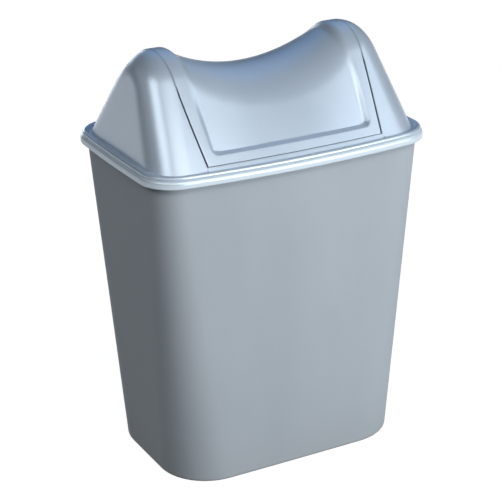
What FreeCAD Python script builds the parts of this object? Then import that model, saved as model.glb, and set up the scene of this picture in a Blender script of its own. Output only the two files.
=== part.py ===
import FreeCAD, Part

import math
import os

from FreeCAD import Vector

# Swing-lid wastebasket. Millimetres, +Z up, X along the long side, the front faces -Y.
# The origin lies on the floor under the middle of the bucket.

# Bucket: outer sizes of its tapered wall on the floor and at the mouth, over the bowed sides.
# A bow is how far a side falls back from its middle at the full half length or half width.
FOOT_LENGTH = 303.5
FOOT_WIDTH = 205.0
FOOT_CORNER = 62.0
FOOT_LONG_BOW = 1.0
FOOT_SHORT_BOW = 0.6
FOOT_ROUNDING = 4.0
MOUTH_LENGTH = 347.2
MOUTH_WIDTH = 239.8
MOUTH_CORNER = 35.0
MOUTH_LONG_BOW = 13.3
MOUTH_SHORT_BOW = 3.0
BUCKET_HEIGHT = 389.5
BUCKET_WALL = 2.2
BUCKET_FLOOR = 2.6
INSIDE_ROUNDING = 8.0

# Rolled rim of the bucket, open underneath
RIM_REACH = 7.4
RIM_DROP = 10.2
RIM_SKIN = 2.2
RIM_CROWN = 3.8
RIM_HEM = 1.4

# Lid flange on the rim, with a round ridge along its edge, and the skirt that locates it
FLANGE_SETBACK = 2.6
FLANGE_THICKNESS = 1.8
RIDGE_HEIGHT = 3.6
RIDGE_WIDTH = 5.6
RIDGE_OUTER_ROUNDING = 2.4
RIDGE_INNER_ROUNDING = 1.6
SKIRT_DEPTH = 15.0
SKIRT_WALL = 2.0
SKIRT_CLEARANCE = 0.6

# Hood: a gable with a round top, measured from the flange's seat, its slopes bowed at the foot
HOOD_LENGTH = 340.0
HOOD_WIDTH = 234.0
HOOD_BOW = 12.9
HOOD_RISE = 113.4
HOOD_TOP_RADIUS = 59.5
HOOD_END_LEAN = 11.5
HOOD_FOOT_CORNER = 46.0
HOOD_TOP_CORNER = 34.0
LID_WALL = 2.2

# Swing flap: it turns about an X axis, and its ends are flat cones about that axis
PIVOT_RISE = 77.0
FLAP_RISE = 6.5
FLAP_SPAN = 247.0
FLAP_END_LEAN = 6.2
FLAP_GAP = 1.5

# Sunk saddle panel of the flap, its side edges parallel with the flap's ends
SADDLE_SPAN = 224.0
SADDLE_DIP = 31.0
SADDLE_BLEND = 14.0
SADDLE_EDGE_DEPTH = 1.0
SADDLE_TOP_RADIUS = 92.0
PANEL_SIDE_BORDER = 10.0
PANEL_FOOT_BORDER = 11.0
PANEL_DEPTH = 4.5
PANEL_CORNER = 8.5

# Pivot pins, pushed through the hood into the flap
PIN_DIAMETER = 8.0
PIN_HEAD_DIAMETER = 14.0
PIN_HEAD_LENGTH = 2.5
PIN_RUNNING_CLEARANCE = 0.08
PIN_END_PLAY = 0.4
BOSS_DIAMETER = 16.0
FLAP_BOSS_LENGTH = 9.0
HOOD_BOSS_LENGTH = 6.0

# How far a cutting solid runs past what it cuts, and lengths below which places count as the same
OVERRUN = 20.0
SAME_PLACE = 1e-4

# Steps of a lofted rounding, and where the saddle's sections lie as shares of its half span
ROUNDING_STEPS = 4
SADDLE_SHARES = (0.3, 0.6, 0.8, 0.92, 1.0)

SEAT_Z = BUCKET_HEIGHT
PIVOT_Z = SEAT_Z + PIVOT_RISE
APEX_Z = SEAT_Z + HOOD_RISE
HOOD_LOW_Z = SEAT_Z - OVERRUN
X_AXIS = Vector(1, 0, 0)
FLAP_END_SLOPE = math.tan(math.radians(FLAP_END_LEAN))
HOOD_END_SLOPE = math.tan(math.radians(HOOD_END_LEAN))
FLAP_HALF_SPAN = FLAP_SPAN / 2
CHEEK_HALF_SPAN = FLAP_HALF_SPAN + FLAP_GAP


def polygon(points):
    """Closed wire of straight sides through the points."""
    return Part.makePolygon(points + points[:1])


def side_radius(half_chord, bow):
    """Radius of a side that falls back by bow at half_chord from its middle."""
    return (half_chord ** 2 + bow ** 2) / (2 * bow)


def bowed_rectangle(length, width, long_bow, short_bow, corner, inset, z):
    """Closed level wire of four bowed sides and four corner arcs, all moved inwards by inset."""
    long_radius = side_radius(length / 2, long_bow)
    short_radius = side_radius(width / 2, short_bow)
    long_centre = Vector(0, width / 2 - long_radius, z)
    short_centre = Vector(length / 2 - short_radius, 0, z)

    # The corner's centre keeps its own distance from the centres of both sides
    to_long = long_radius - corner
    to_short = short_radius - corner
    across = short_centre - long_centre
    span = across.Length
    along = (to_long ** 2 - to_short ** 2 + span ** 2) / (2 * span)
    aside = math.sqrt(to_long ** 2 - along ** 2)
    forward = across / span
    sideways = Vector(forward.y, -forward.x, 0)
    centre = long_centre + forward * along + sideways * aside

    def unit(vector):
        return vector / vector.Length

    on_long = centre + unit(centre - long_centre) * (corner - inset)
    on_short = centre + unit(centre - short_centre) * (corner - inset)
    between = centre + unit(on_long + on_short - centre * 2) * (corner - inset)

    def turned(point, sign_x, sign_y):
        return Vector(sign_x * point.x, sign_y * point.y, point.z)

    end_middle = Vector(length / 2 - inset, 0, z)
    side_middle = Vector(0, width / 2 - inset, z)
    edges = []
    for sign_x, sign_y in ((1, 1), (-1, 1), (-1, -1), (1, -1)):
        corner_arc = [on_short, between, on_long]
        if sign_x * sign_y < 0:
            corner_arc.reverse()
        edges.append(Part.Arc(*[turned(point, sign_x, sign_y) for point in corner_arc]).toShape())
        last = turned(corner_arc[2], sign_x, sign_y)
        if sign_x * sign_y > 0:
            middle = turned(side_middle, 1, sign_y)
            following = turned(on_long, -sign_x, sign_y)
        else:
            middle = turned(end_middle, sign_x, 1)
            following = turned(on_short, sign_x, -sign_y)
        edges.append(Part.Arc(last, middle, following).toShape())
    return Part.Wire(edges)


def bucket_outline(z, inset, level=None):
    """Outline of the bucket's wall at height z, moved inwards by inset, drawn at height level."""
    share = z / BUCKET_HEIGHT

    def between(foot, mouth):
        return foot + (mouth - foot) * share

    return bowed_rectangle(
        between(FOOT_LENGTH, MOUTH_LENGTH),
        between(FOOT_WIDTH, MOUTH_WIDTH),
        between(FOOT_LONG_BOW, MOUTH_LONG_BOW),
        between(FOOT_SHORT_BOW, MOUTH_SHORT_BOW),
        between(FOOT_CORNER, MOUTH_CORNER),
        inset,
        z if level is None else level,
    )


def upright(wire, height):
    """Solid made by raising a level wire."""
    return Part.Face(wire).extrude(Vector(0, 0, height))


def edges_at(shape, z):
    """The edges of a shape that lie level at height z."""
    found = []
    for edge in shape.Edges:
        box = edge.BoundBox
        if abs(box.ZMin - z) < SAME_PLACE and abs(box.ZMax - z) < SAME_PLACE:
            found.append(edge)
    return found


def bucket_solid(floor_z, inset, top_z, rounding):
    """The bucket's full form from floor_z to top_z, moved inwards by inset, its lower edge rounded."""
    foot_outlines = []
    for step in range(ROUNDING_STEPS + 1):
        angle = math.radians(90) * step / ROUNDING_STEPS
        z = floor_z + rounding * (1 - math.cos(angle))
        foot_outlines.append(bucket_outline(z, inset + rounding * (1 - math.sin(angle))))
    foot = Part.makeLoft(foot_outlines, True, False)
    wall_outlines = [bucket_outline(z, inset) for z in (floor_z + rounding, top_z)]
    return foot.fuse(Part.makeLoft(wall_outlines, True, True))


def make_bin_body():
    """Tapered bucket with a rolled rim."""
    shell = bucket_solid(0, 0, BUCKET_HEIGHT, FOOT_ROUNDING)

    rim_foot = BUCKET_HEIGHT - RIM_DROP
    rim = upright(bucket_outline(BUCKET_HEIGHT, -RIM_REACH, rim_foot), RIM_DROP)
    rim = rim.makeFillet(RIM_CROWN, edges_at(rim, BUCKET_HEIGHT))
    hollow_height = RIM_DROP - RIM_SKIN
    hollow = upright(bucket_outline(BUCKET_HEIGHT, RIM_SKIN - RIM_REACH, rim_foot), hollow_height)
    rim = rim.makeFillet(RIM_HEM, edges_at(rim, rim_foot))
    shell = shell.fuse(rim.cut(hollow))
    inside = bucket_solid(BUCKET_FLOOR, BUCKET_WALL, BUCKET_HEIGHT + OVERRUN, INSIDE_ROUNDING)
    return shell.cut(inside).removeSplitter()


def gable_tangent(foot_y, foot_z, apex_z, radius):
    """Slope and tangent point of a straight side that runs from its foot to a round top."""
    centre_z = apex_z - radius
    rise = centre_z - foot_z
    slope = math.atan2(rise, foot_y) + math.asin(radius / math.hypot(foot_y, rise))
    return slope, radius * math.sin(slope), centre_z + radius * math.cos(slope)


HOOD_SLOPE = gable_tangent(HOOD_WIDTH / 2, SEAT_Z, APEX_Z, HOOD_TOP_RADIUS)[0]


def hood_low_y(x, inset):
    """Half width of the hood at x where its slope reaches HOOD_LOW_Z, moved inwards by inset."""
    half_width = HOOD_WIDTH / 2 - HOOD_BOW * (2 * x / HOOD_LENGTH) ** 2
    return half_width + OVERRUN / math.tan(HOOD_SLOPE) - inset / math.sin(HOOD_SLOPE)


def hood_front_y(x, z, inset):
    """Half width of the hood at x and height z on its straight slope, moved inwards by inset."""
    low_y = hood_low_y(x, inset)
    slope = gable_tangent(low_y, HOOD_LOW_Z, APEX_Z - inset, HOOD_TOP_RADIUS - inset)[0]
    return low_y - (z - HOOD_LOW_Z) / math.tan(slope)


def hood_end_x(z, inset):
    """Half length of the hood at height z on its leaning end, moved inwards by inset."""
    lean = math.radians(HOOD_END_LEAN)
    return HOOD_LENGTH / 2 - (z - SEAT_Z) * HOOD_END_SLOPE - inset / math.cos(lean)


def front_half_section(x, inset):
    """Closed wire across the front half of the hood at x."""
    apex = APEX_Z - inset
    radius = HOOD_TOP_RADIUS - inset
    low_y = hood_low_y(x, inset)
    slope, tangent_y, tangent_z = gable_tangent(low_y, HOOD_LOW_Z, apex, radius)
    arc_y = radius * math.sin(slope / 2)
    arc_z = apex - radius + radius * math.cos(slope / 2)
    low = Vector(x, -low_y, HOOD_LOW_Z)
    tangent = Vector(x, -tangent_y, tangent_z)
    top = Vector(x, 0, apex)
    below_top = Vector(x, 0, HOOD_LOW_Z)
    return Part.Wire([
        Part.makeLine(low, tangent),
        Part.Arc(tangent, Vector(x, -arc_y, arc_z), top).toShape(),
        Part.makeLine(top, below_top),
        Part.makeLine(below_top, low),
    ])


def is_slope_corner(edge):
    """Whether an edge is the corner between the front slope and the left end."""
    box = edge.BoundBox
    starts_low = box.ZMin < HOOD_LOW_Z + OVERRUN / 2
    climbs = box.ZLength > OVERRUN and box.YLength > OVERRUN
    return starts_low and climbs and edge.CenterOfMass.x < -OVERRUN


def hood_solid(inset, foot_z):
    """The hood's full form, all faces moved inwards by inset, from foot_z up to the round top."""
    far = HOOD_LENGTH / 2 + OVERRUN
    stations = [-far, -far / 2, 0, far / 2, far]
    front = Part.makeLoft([front_half_section(x, inset) for x in stations], True, False)

    # The front left quarter, cut off by the leaning end
    high = APEX_Z + OVERRUN
    depth = HOOD_WIDTH / 2 + 2 * OVERRUN
    end = polygon([
        Vector(-hood_end_x(HOOD_LOW_Z, inset), -depth, HOOD_LOW_Z),
        Vector(0, -depth, HOOD_LOW_Z),
        Vector(0, -depth, high),
        Vector(-hood_end_x(high, inset), -depth, high),
    ])
    quarter = front.common(Part.Face(end).extrude(Vector(0, 2 * depth, 0)))

    # The corner's radius shrinks steadily from the foot of the slope to the top
    corner = next(edge for edge in quarter.Edges if is_slope_corner(edge))
    radii = [HOOD_FOOT_CORNER - inset, HOOD_TOP_CORNER - inset]
    if corner.firstVertex(True).Z > corner.lastVertex(True).Z:
        radii.reverse()
    quarter = quarter.makeFillet(radii[0], radii[1], [corner])

    half = quarter.fuse(quarter.mirror(Vector(0, 0, 0), X_AXIS))
    whole = half.fuse(half.mirror(Vector(0, 0, 0), Vector(0, 1, 0))).removeSplitter()
    keep = Part.makeBox(2 * far, 2 * depth, high - foot_z, Vector(-far, -depth, foot_z))
    return whole.common(keep)


FLAP_FOOT_Z = SEAT_Z + FLAP_RISE
PANEL_FOOT_Z = FLAP_FOOT_Z + PANEL_FOOT_BORDER * math.sin(HOOD_SLOPE)
FLAP_END_X = FLAP_HALF_SPAN - PIVOT_RISE * FLAP_END_SLOPE
FLAP_MIDDLE_REACH = math.hypot(hood_front_y(0, FLAP_FOOT_Z, 0), PIVOT_Z - FLAP_FOOT_Z)
FLAP_END_REACH = math.hypot(hood_front_y(FLAP_END_X, FLAP_FOOT_Z, 0), PIVOT_Z - FLAP_FOOT_Z)


def swing_drum(half_span, extra):
    """Barrel about the pivot axis, extra wider than the flap's reach.

    Its ends are flat within the pivot bosses, half_span from the middle, and conical outside them.
    """
    land = BOSS_DIAMETER / 2
    end_reach = FLAP_END_REACH + extra
    rim_x = half_span - (end_reach - land) * FLAP_END_SLOPE

    def at(x, radius):
        return Vector(x, 0, PIVOT_Z + radius)

    outline = [at(rim_x, end_reach), at(half_span, land), at(half_span, 0)]
    outline += [at(-half_span, 0), at(-half_span, land), at(-rim_x, end_reach)]
    edges = [Part.makeLine(start, end) for start, end in zip(outline, outline[1:])]
    edges.append(Part.Arc(outline[-1], at(0, FLAP_MIDDLE_REACH + extra), outline[0]).toShape())
    return Part.Face(Part.Wire(edges)).revolve(at(0, 0), X_AXIS, 360)


def rod(diameter, x_start, x_end, side):
    """Cylinder on the pivot axis between two distances from the middle, at one side (-1 or 1)."""
    start = Vector(side * x_start, 0, PIVOT_Z)
    return Part.makeCylinder(diameter / 2, x_end - x_start, start, Vector(side, 0, 0))


def make_lid_hood():
    """Lift-off hood: flange, skirt, rails, two hollow cheeks and their pivot walls."""
    hollow = hood_solid(LID_WALL, HOOD_LOW_Z)
    wall_end = CHEEK_HALF_SPAN + LID_WALL
    lid = hood_solid(0, SEAT_Z)
    lid = lid.cut(hollow.cut(swing_drum(wall_end, OVERRUN)))
    lid = lid.cut(hollow.common(swing_drum(CHEEK_HALF_SPAN, OVERRUN)))
    lid = lid.cut(swing_drum(CHEEK_HALF_SPAN, FLAP_GAP))

    edge_inset = FLANGE_SETBACK - RIM_REACH
    plate = upright(bucket_outline(BUCKET_HEIGHT, edge_inset), FLANGE_THICKNESS).cut(hollow)
    ridge = upright(bucket_outline(BUCKET_HEIGHT, edge_inset), RIDGE_HEIGHT)
    ridge = ridge.makeFillet(RIDGE_OUTER_ROUNDING, edges_at(ridge, SEAT_Z + RIDGE_HEIGHT))
    trough = upright(bucket_outline(BUCKET_HEIGHT, edge_inset + RIDGE_WIDTH), RIDGE_HEIGHT)
    ridge = ridge.cut(trough)
    trough_edges = [edge for edge in edges_at(ridge, SEAT_Z + RIDGE_HEIGHT)
                    if edge.distToShape(trough)[0] < SAME_PLACE]
    ridge = ridge.makeFillet(RIDGE_INNER_ROUNDING, trough_edges)

    skirt_foot = SEAT_Z - SKIRT_DEPTH
    skirt_height = SKIRT_DEPTH + FLANGE_THICKNESS
    skirt_inset = BUCKET_WALL + SKIRT_CLEARANCE
    skirt = upright(bucket_outline(skirt_foot, skirt_inset), skirt_height)
    skirt = skirt.cut(upright(bucket_outline(skirt_foot, skirt_inset + SKIRT_WALL), skirt_height))
    lid = lid.fuse([plate, ridge, skirt])

    bore = PIN_DIAMETER + 2 * PIN_RUNNING_CLEARANCE
    for side in (-1, 1):
        lid = lid.fuse(rod(BOSS_DIAMETER, CHEEK_HALF_SPAN, wall_end + HOOD_BOSS_LENGTH, side))
        lid = lid.cut(rod(bore, FLAP_HALF_SPAN - OVERRUN, wall_end + OVERRUN, side))
    return lid.removeSplitter()


def saddle_apex(x):
    """Height of the sunk panel's top at x: a hollow arc in the middle, a round shoulder at each end."""
    shoulder_z = APEX_Z - SADDLE_EDGE_DEPTH
    half_span = SADDLE_SPAN / 2
    both_radii = (half_span ** 2 + SADDLE_DIP ** 2) / (2 * SADDLE_DIP)
    hollow_radius = both_radii - SADDLE_BLEND
    join_x = half_span * hollow_radius / both_radii
    if abs(x) < join_x:
        return shoulder_z - SADDLE_DIP + hollow_radius - math.sqrt(hollow_radius ** 2 - x ** 2)
    return shoulder_z - SADDLE_BLEND + math.sqrt(SADDLE_BLEND ** 2 - (half_span - abs(x)) ** 2)


def saddle_section(share, inset):
    """Closed wire across the flap at a share of the half span: over the panel, then round above it."""
    half_span = SADDLE_SPAN / 2
    x = share * (half_span + inset)
    apex = saddle_apex(share * half_span) - inset
    sunk = (APEX_Z - inset - apex) / (SADDLE_DIP + SADDLE_EDGE_DEPTH)
    radius = HOOD_TOP_RADIUS + (SADDLE_TOP_RADIUS - HOOD_TOP_RADIUS) * sunk - inset
    panel_z = PANEL_FOOT_Z - inset
    foot_y = hood_front_y(x, panel_z, PANEL_DEPTH + inset)
    tangent_y, tangent_z = gable_tangent(foot_y, panel_z, apex, radius)[1:]
    out_y = HOOD_WIDTH / 2 + OVERRUN
    out_z = APEX_Z + OVERRUN
    front_tangent = Vector(x, -tangent_y, tangent_z)
    back_tangent = Vector(x, tangent_y, tangent_z)
    corners = [
        back_tangent,
        Vector(x, foot_y, panel_z),
        Vector(x, out_y, panel_z),
        Vector(x, out_y, out_z),
        Vector(x, -out_y, out_z),
        Vector(x, -out_y, panel_z),
        Vector(x, -foot_y, panel_z),
        front_tangent,
    ]
    edges = [Part.Arc(front_tangent, Vector(x, 0, apex), back_tangent).toShape()]
    for start, end in zip(corners, corners[1:]):
        edges.append(Part.makeLine(start, end))
    return Part.Wire(edges)


def saddle_cutter(inset):
    """Solid that sinks the saddle panel into the flap, with its surface moved inwards by inset."""
    shares = [-share for share in reversed(SADDLE_SHARES)] + [0.0] + list(SADDLE_SHARES)
    cutter = Part.makeLoft([saddle_section(share, inset) for share in shares], True, False)
    panel_half_span = FLAP_HALF_SPAN - PANEL_SIDE_BORDER + inset
    cutter = cutter.common(swing_drum(panel_half_span, 3 * OVERRUN))
    corners = [edge for edge in edges_at(cutter, PANEL_FOOT_Z - inset)
               if edge.BoundBox.YLength > edge.BoundBox.XLength]
    return cutter.makeFillet(PANEL_CORNER + inset, corners)


def make_swing_flap():
    """Hollow see-saw flap between the cheeks, open underneath, with a pin boss at each end."""
    outside = hood_solid(0, FLAP_FOOT_Z).common(swing_drum(FLAP_HALF_SPAN, 0))
    outside = outside.cut(saddle_cutter(0))
    wall_start = FLAP_HALF_SPAN - LID_WALL
    inside = hood_solid(LID_WALL, HOOD_LOW_Z).common(swing_drum(wall_start, OVERRUN))
    inside = inside.cut(saddle_cutter(LID_WALL))
    flap = outside.cut(inside)
    boss_start = wall_start - FLAP_BOSS_LENGTH
    for side in (-1, 1):
        flap = flap.fuse(rod(BOSS_DIAMETER, boss_start, wall_start, side))
        flap = flap.cut(rod(PIN_DIAMETER, boss_start - OVERRUN, FLAP_HALF_SPAN + OVERRUN, side))
    return flap.removeSplitter()


def make_pivot_pin(side):
    """Headed pin, its shank tight in the flap's boss and free in the hood's."""
    shank_start = FLAP_HALF_SPAN - LID_WALL - FLAP_BOSS_LENGTH
    head_start = CHEEK_HALF_SPAN + LID_WALL + HOOD_BOSS_LENGTH + PIN_END_PLAY
    shank = rod(PIN_DIAMETER, shank_start, head_start, side)
    head = rod(PIN_HEAD_DIAMETER, head_start, head_start + PIN_HEAD_LENGTH, side)
    return shank.fuse(head)


def main():
    pieces = {
        "bin_body": make_bin_body(),
        "lid_hood": make_lid_hood(),
        "swing_flap": make_swing_flap(),
        "pivot_pin_left": make_pivot_pin(-1),
        "pivot_pin_right": make_pivot_pin(1),
    }
    os.makedirs("parts", exist_ok=True)
    for name, shape in pieces.items():
        print(name, len(shape.Solids), shape.isValid(), round(shape.Volume), shape.BoundBox)
        shape.exportStep("parts/" + name + ".step")


main()
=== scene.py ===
# %% [markdown]
# This lesson dresses a swing-lid wastebasket: a tapered bucket, a lift-off hood with two hollow cheeks,
# and a see-saw flap between them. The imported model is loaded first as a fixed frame, so every piece can
# be set down where the real one sits, in metres.

# %% Load the frame
import math

import bmesh
import bpy
import numpy as np
from mathutils import Matrix, Vector


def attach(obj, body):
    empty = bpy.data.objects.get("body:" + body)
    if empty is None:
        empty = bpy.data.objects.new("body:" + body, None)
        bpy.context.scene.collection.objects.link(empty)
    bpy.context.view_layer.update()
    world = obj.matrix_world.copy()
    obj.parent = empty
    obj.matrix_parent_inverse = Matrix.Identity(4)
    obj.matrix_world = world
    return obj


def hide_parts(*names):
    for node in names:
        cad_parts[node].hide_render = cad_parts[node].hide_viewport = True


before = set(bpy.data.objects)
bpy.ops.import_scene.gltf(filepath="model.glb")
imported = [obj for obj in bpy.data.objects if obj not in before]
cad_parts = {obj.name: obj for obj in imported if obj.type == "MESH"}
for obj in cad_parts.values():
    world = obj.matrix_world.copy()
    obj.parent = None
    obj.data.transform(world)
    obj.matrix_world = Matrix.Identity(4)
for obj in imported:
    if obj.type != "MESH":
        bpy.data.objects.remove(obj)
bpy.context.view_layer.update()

# %% [markdown]
# A bucket like this is drawn from two outlines, one on the floor and one at the mouth. Each is a
# rectangle with round corners whose sides bow outwards a little, and a bow is the fall of a side from
# its middle to its end. Arcs could be typed in as points, but working them out from radii keeps them
# true when a size is changed. Lengths are millimetres here, turned to metres last.

# %% Outlines of the bucket
FOOT = dict(length=303.5, width=205.0, corner=62.0, long_bow=1.0, short_bow=0.6)
MOUTH = dict(length=347.2, width=239.8, corner=35.0, long_bow=13.3, short_bow=3.0)
SIDE_POINTS = 24
CORNER_POINTS = 14


def outline(length, width, corner, long_bow, short_bow):
    """Points of a bowed rectangle, anticlockwise from the right end, with their outward directions."""
    long_radius = ((length / 2) ** 2 + long_bow ** 2) / (2 * long_bow)
    short_radius = ((width / 2) ** 2 + short_bow ** 2) / (2 * short_bow)
    long_centre = np.array([0, width / 2 - long_radius])
    short_centre = np.array([length / 2 - short_radius, 0])
    across = short_centre - long_centre
    span = np.hypot(*across)
    to_long = long_radius - corner
    to_short = short_radius - corner
    along = (to_long ** 2 - to_short ** 2 + span ** 2) / (2 * span)
    forward = across / span
    sideways = np.array([forward[1], -forward[0]])
    middle = long_centre + forward * along + sideways * math.sqrt(to_long ** 2 - along ** 2)
    end_turn = math.atan2(*(middle - short_centre)[::-1])
    side_turn = math.atan2(*(middle - long_centre)[::-1])
    arcs = [
        (short_centre, short_radius, np.linspace(0, end_turn, SIDE_POINTS, endpoint=False)),
        (middle, corner, np.linspace(end_turn, side_turn, CORNER_POINTS, endpoint=False)),
        (long_centre, long_radius, np.linspace(side_turn, math.pi / 2, SIDE_POINTS + 1)),
    ]
    points = []
    outward = []
    for centre, radius, turns in arcs:
        directions = np.stack([np.cos(turns), np.sin(turns)], axis=1)
        points.append(centre + radius * directions)
        outward.append(directions)
    quarter = np.hstack([np.vstack(points), np.vstack(outward)])
    half = np.vstack([quarter, quarter[-2::-1] * (-1, 1, -1, 1)])
    return np.vstack([half, half[-2:0:-1] * (1, -1, 1, -1)])


def guide(name, points, **values):
    """A hidden mesh of loose points in millimetres for a node tree to read, with values on them."""
    mesh = bpy.data.meshes.new(name)
    mesh.from_pydata([tuple(point) for point in points], [], [])
    for key, numbers in values.items():
        numbers = np.asarray(numbers, dtype=float)
        kind = "FLOAT" if numbers.ndim == 1 else "FLOAT_VECTOR"
        field = "value" if numbers.ndim == 1 else "vector"
        mesh.attributes.new(key, kind, "POINT").data.foreach_set(field, numbers.ravel())
    return bpy.data.objects.new(name, mesh)


def outline_guide(name, sizes):
    """The points of an outline at height 0, each with its outward direction."""
    rows = outline(**sizes)
    level = np.zeros((len(rows), 1))
    return guide(name, np.hstack([rows[:, :2], level]), outward=np.hstack([rows[:, 2:], level]))


foot_guide = outline_guide("foot_outline", FOOT)
mouth_guide = outline_guide("mouth_outline", MOUTH)
around = len(mouth_guide.data.vertices)
print("outline points", around)

# %% [markdown]
# Node trees shape the bucket and colour every finish here. They could be drawn by hand in the node
# editor, but a script repeats them exactly. These helpers add a node and hand back the socket that the
# next node needs.

# %% Helpers for node trees
VECTOR = "ShaderNodeVectorMath"
SPLIT = "ShaderNodeSeparateXYZ"


def add(tree, kind, inputs=None, **settings):
    """Adds a node, sets it up, and links or fills its inputs."""
    node = tree.nodes.new(kind)
    for name, value in settings.items():
        setattr(node, name, value)
    for key, value in (inputs or {}).items():
        if isinstance(key, int):
            socket = node.inputs[key]
        else:
            socket = next(one for one in node.inputs if one.name == key and one.enabled)
        if isinstance(value, bpy.types.NodeSocket):
            tree.links.new(value, socket)
        else:
            socket.default_value = value
    return node


def out(tree, kind, inputs=None, **settings):
    """Adds a node and returns its first output."""
    return add(tree, kind, inputs, **settings).outputs[0]


def worked(tree, operation, *values, **settings):
    """Result of a maths node on the given numbers or sockets."""
    return out(tree, "ShaderNodeMath", dict(enumerate(values)), operation=operation, **settings)


def summed(tree, first, second):
    """Two vectors added."""
    return out(tree, VECTOR, {0: first, 1: second}, operation="ADD")


def scaled(tree, vector, factor):
    """A vector times a number."""
    return out(tree, VECTOR, {0: vector, "Scale": factor}, operation="SCALE")


print("node helpers ready")

# %% [markdown]
# The bucket and the flange of the lid both follow one rule: a profile is carried round the outline,
# and each point of it says how far out it lies, how high, and how far between foot and mouth the
# outline is read. Curve to Mesh could sweep a profile, but only along one outline. A grid whose points
# are placed by this rule takes both outlines, so the taper and the changing corners come out exactly.

# %% Node tree: a grid that reads the outlines and the profile
carry = bpy.data.node_groups.new("carry_profile_round_outline", "GeometryNodeTree")
INPUT_KINDS = [("Foot outline", "Object"), ("Mouth outline", "Object"), ("Profile", "Object"),
               ("Around", "Int"), ("Along", "Int"), ("Material", "Material")]
identifiers = {}
for title, kind in INPUT_KINDS:
    identifiers[title] = carry.interface.new_socket(
        name=title, in_out="INPUT", socket_type="NodeSocket" + kind).identifier
carry.interface.new_socket(name="Geometry", in_out="OUTPUT", socket_type="NodeSocketGeometry")
given = add(carry, "NodeGroupInput").outputs

# A grid one step per unit, so that a point's own place tells its column and row
columns = worked(carry, "ADD", given["Around"], 1.0)
rows_less = worked(carry, "SUBTRACT", given["Along"], 1.0)
grid = add(carry, "GeometryNodeMeshGrid", {
    "Size X": given["Around"], "Size Y": rows_less,
    "Vertices X": columns, "Vertices Y": given["Along"]}).outputs["Mesh"]
grid_place = add(carry, SPLIT, {0: out(carry, "GeometryNodeInputPosition")}).outputs
half_x = worked(carry, "MULTIPLY", given["Around"], 0.5)
half_y = worked(carry, "MULTIPLY", rows_less, 0.5)
column = worked(carry, "ROUND", worked(carry, "ADD", grid_place[0], half_x))
column = worked(carry, "MODULO", column, given["Around"])
row = worked(carry, "ROUND", worked(carry, "ADD", grid_place[1], half_y))

# Read both outlines at the column, and the profile at the row
READS = [(source, field, "FLOAT_VECTOR", column)
         for source in ("Foot outline", "Mouth outline") for field in ("", "outward")]
READS += [("Profile", "", "FLOAT_VECTOR", row), ("Profile", "share", "FLOAT", row),
          ("Profile", "spread", "FLOAT", row)]
sampled = {}
for source, field, kind, index in READS:
    points = add(carry, "GeometryNodeObjectInfo", {"Object": given[source]}).outputs["Geometry"]
    if field:
        value = out(carry, "GeometryNodeInputNamedAttribute", {"Name": field}, data_type=kind)
    else:
        value = out(carry, "GeometryNodeInputPosition")
    sampled[source, field] = out(carry, "GeometryNodeSampleIndex", {
        "Geometry": points, "Value": value, "Index": index}, data_type=kind)
print("the grid reads", len(sampled), "values")

# %% [markdown]
# With these values the tree places each grid point: it mixes foot and mouth by the share, steps
# outwards, draws in by the spread, where 0 closes the floor in one point, and lifts to the profile's
# height. Merging by distance then joins the last column to the first.

# %% Node tree: the places of the points
TO_METRES = 0.001
MERGE_DISTANCE = 1e-5
mixed = {}
for field in ("", "outward"):
    low = sampled["Foot outline", field]
    high = sampled["Mouth outline", field]
    rise = out(carry, VECTOR, {0: high, 1: low}, operation="SUBTRACT")
    mixed[field] = summed(carry, low, scaled(carry, rise, sampled["Profile", "share"]))
profile_place = add(carry, SPLIT, {0: sampled["Profile", ""]}).outputs
spot = summed(carry, mixed[""], scaled(carry, mixed["outward"], profile_place[0]))
spot = scaled(carry, spot, sampled["Profile", "spread"])
spot = summed(carry, spot, out(carry, "ShaderNodeCombineXYZ", {"Z": profile_place[2]}))
spot = scaled(carry, spot, TO_METRES)
shell = out(carry, "GeometryNodeSetPosition", {"Geometry": grid, "Position": spot})
shell = out(carry, "GeometryNodeMergeByDistance", {"Geometry": shell, "Distance": MERGE_DISTANCE})
shell = out(carry, "GeometryNodeRealizeInstances", {"Geometry": shell})
shell = out(carry, "GeometryNodeSetMaterial", {"Geometry": shell, "Material": given["Material"]})
add(carry, "NodeGroupOutput", {"Geometry": shell})
print("node tree with", len(carry.nodes), "nodes")

# %% [markdown]
# Both plastics are polypropylene with a fine aluminium pigment, moulded in steel tools. The bucket's
# tool was sandblasted, so the bucket is matt with an even grain. The lid's was polished finer, so the
# lid has a satin gloss, in which the pigment acts partly like metal. Colours are written as sRGB hex,
# as paint charts give them, and turned to linear light by one function.

# %% Colours
def linear(hex_colour):
    """Linear RGBA of an sRGB hex colour."""
    parts = [int(hex_colour[place:place + 2], 16) / 255 for place in (1, 3, 5)]
    curve = [part / 12.92 if part <= 0.04045 else ((part + 0.055) / 1.055) ** 2.4 for part in parts]
    return (*curve, 1.0)


def ramped(tree, value, start, end, low=0.0, high=1.0):
    """Number that goes from low to high while the value goes from start to end, and stays there."""
    return out(tree, "ShaderNodeMapRange", {"Value": value, 1: start, 2: end, 3: low, 4: high})


def blended(tree, share, first, second):
    """Colour that goes from the first to the second as the share goes from 0 to 1."""
    mix = add(tree, "ShaderNodeMix", {"Factor": share, "A": first, "B": second}, data_type="RGBA")
    return mix.outputs["Result"]


print("mid grey", [round(part, 3) for part in linear("#808080")])
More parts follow.
